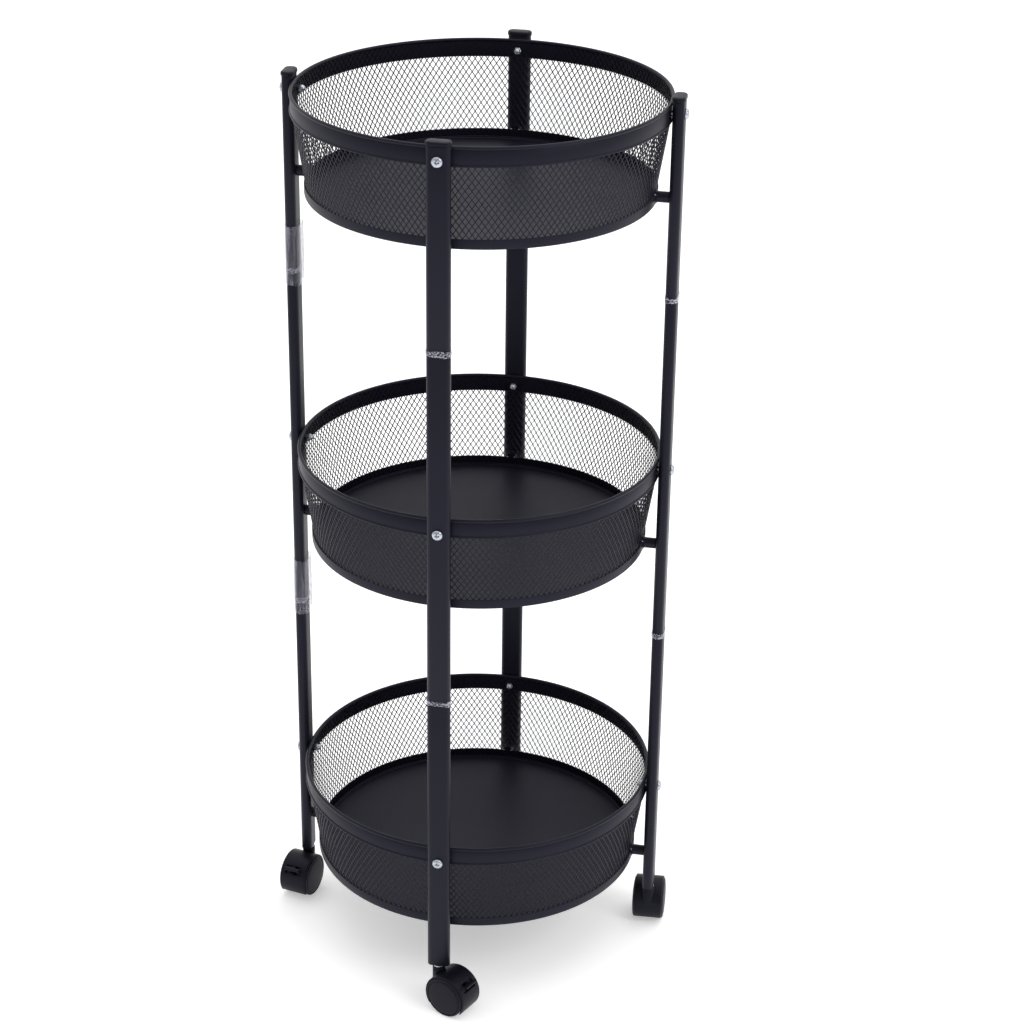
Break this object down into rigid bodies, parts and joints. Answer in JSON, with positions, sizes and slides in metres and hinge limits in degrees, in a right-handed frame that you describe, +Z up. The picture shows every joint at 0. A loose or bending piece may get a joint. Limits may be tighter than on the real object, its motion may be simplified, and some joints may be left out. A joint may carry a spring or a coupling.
{
  "type": "rolling utility cart",
  "caption": "Tall round storage cart: open wire-mesh baskets with flat metal floors between slim flat-oval posts on swivel casters.",
  "frame": {"origin": "on the floor, at the point midway between the four posts", "axes": "+Z up through the middle of the round baskets; -Y towards the front post, +X towards the right post"},
  "size_m": [0.3676, 0.3844, 0.8101],
  "materials": {
    "powder_coat": "satin black powder coat",
    "mesh_coat": "satin black powder coat over expanded steel mesh",
    "cap_plastic": "moulded black plastic, semi-matt",
    "caster_plastic": "moulded black nylon, fine grain",
    "wheel_plastic": "moulded black nylon, fine grain",
    "zinc": "bright zinc plate",
    "clear_plastic": "clear flexible plastic film"
  },
  "bodies": {
    "root": {"basket_bottom_rim": "powder_coat", "basket_bottom_mesh": "mesh_coat", "basket_bottom_pan": "powder_coat", "basket_middle_rim": "powder_coat", "basket_middle_mesh": "mesh_coat", "basket_middle_pan": "powder_coat", "basket_top_rim": "powder_coat", "basket_top_mesh": "mesh_coat", "basket_top_pan": "powder_coat", "post_front_lower": "powder_coat", "post_front_middle": "powder_coat", "post_front_upper": "powder_coat", "cap_front": "cap_plastic", "screw_bottom_front": "zinc", "screw_middle_front": "zinc", "screw_top_front": "zinc", "caster_front_stem": "zinc", "post_right_lower": "powder_coat", "post_right_middle": "powder_coat", "post_right_upper": "powder_coat", "cap_right": "cap_plastic", "screw_bottom_right": "zinc", "screw_middle_right": "zinc", "screw_top_right": "zinc", "caster_right_stem": "zinc", "post_back_lower": "powder_coat", "post_back_middle": "powder_coat", "post_back_upper": "powder_coat", "cap_back": "cap_plastic", "screw_bottom_back": "zinc", "screw_middle_back": "zinc", "screw_top_back": "zinc", "caster_back_stem": "zinc", "post_left_lower": "powder_coat", "post_left_middle": "powder_coat", "post_left_upper": "powder_coat", "cap_left": "cap_plastic", "screw_bottom_left": "zinc", "screw_middle_left": "zinc", "screw_top_left": "zinc", "caster_left_stem": "zinc"},
    "caster_front": {"caster_front_hood": "caster_plastic", "caster_front_axle": "zinc"},
    "wheel_front_a": {"caster_front_wheel_a": "wheel_plastic"},
    "wheel_front_b": {"caster_front_wheel_b": "wheel_plastic"},
    "brake_front": {"caster_front_brake": "caster_plastic"},
    "caster_right": {"caster_right_hood": "caster_plastic", "caster_right_axle": "zinc"},
    "wheel_right_a": {"caster_right_wheel_a": "wheel_plastic"},
    "wheel_right_b": {"caster_right_wheel_b": "wheel_plastic"},
    "caster_back": {"caster_back_hood": "caster_plastic", "caster_back_axle": "zinc"},
    "wheel_back_a": {"caster_back_wheel_a": "wheel_plastic"},
    "wheel_back_b": {"caster_back_wheel_b": "wheel_plastic"},
    "caster_left": {"caster_left_hood": "caster_plastic", "caster_left_axle": "zinc"},
    "wheel_left_a": {"caster_left_wheel_a": "wheel_plastic"},
    "wheel_left_b": {"caster_left_wheel_b": "wheel_plastic"},
    "brake_left": {"caster_left_brake": "caster_plastic"}
  },
  "joints": [
    {"name": "swivel_front", "type": "hinge", "parent": "root", "child": "caster_front", "pos_m": [0, -0.1656, 0.04], "axis": [0, 0, 1], "continuous": true},
    {"name": "spin_front_a", "type": "hinge", "parent": "caster_front", "child": "wheel_front_a", "pos_m": [0.01381, -0.17146, 0.019], "axis": [0.3907, 0.9205, 0], "continuous": true},
    {"name": "spin_front_b", "type": "hinge", "parent": "caster_front", "child": "wheel_front_b", "pos_m": [0.01381, -0.17146, 0.019], "axis": [0.3907, 0.9205, 0], "continuous": true},
    {"name": "brake_press_front", "type": "hinge", "parent": "caster_front", "child": "brake_front", "pos_m": [0.01886, -0.17361, 0.03078], "axis": [0.3907, 0.9205, 0], "range_deg": [0, 18]},
    {"name": "swivel_right", "type": "hinge", "parent": "root", "child": "caster_right", "pos_m": [0.1656, 0, 0.04], "axis": [0, 0, 1], "continuous": true},
    {"name": "spin_right_a", "type": "hinge", "parent": "caster_right", "child": "wheel_right_a", "pos_m": [0.16481, 0.01498, 0.019], "axis": [-0.9986, -0.0523, 0], "continuous": true},
    {"name": "spin_right_b", "type": "hinge", "parent": "caster_right", "child": "wheel_right_b", "pos_m": [0.16481, 0.01498, 0.019], "axis": [-0.9986, -0.0523, 0], "continuous": true},
    {"name": "swivel_back", "type": "hinge", "parent": "root", "child": "caster_back", "pos_m": [0, 0.1656, 0.04], "axis": [0, 0, 1], "continuous": true},
    {"name": "spin_back_a", "type": "hinge", "parent": "caster_back", "child": "wheel_back_a", "pos_m": [0.01359, 0.17194, 0.019], "axis": [-0.4226, 0.9063, 0], "continuous": true},
    {"name": "spin_back_b", "type": "hinge", "parent": "caster_back", "child": "wheel_back_b", "pos_m": [0.01359, 0.17194, 0.019], "axis": [-0.4226, 0.9063, 0], "continuous": true},
    {"name": "swivel_left", "type": "hinge", "parent": "root", "child": "caster_left", "pos_m": [-0.1656, 0, 0.04], "axis": [0, 0, 1], "continuous": true},
    {"name": "spin_left_a", "type": "hinge", "parent": "caster_left", "child": "wheel_left_a", "pos_m": [-0.16897, -0.01462, 0.019], "axis": [0.9744, -0.225, 0], "continuous": true},
    {"name": "spin_left_b", "type": "hinge", "parent": "caster_left", "child": "wheel_left_b", "pos_m": [-0.16897, -0.01462, 0.019], "axis": [0.9744, -0.225, 0], "continuous": true},
    {"name": "brake_press_left", "type": "hinge", "parent": "caster_left", "child": "brake_left", "pos_m": [-0.17021, -0.01997, 0.03078], "axis": [0.9744, -0.225, 0], "range_deg": [0, 18]}
  ]
}
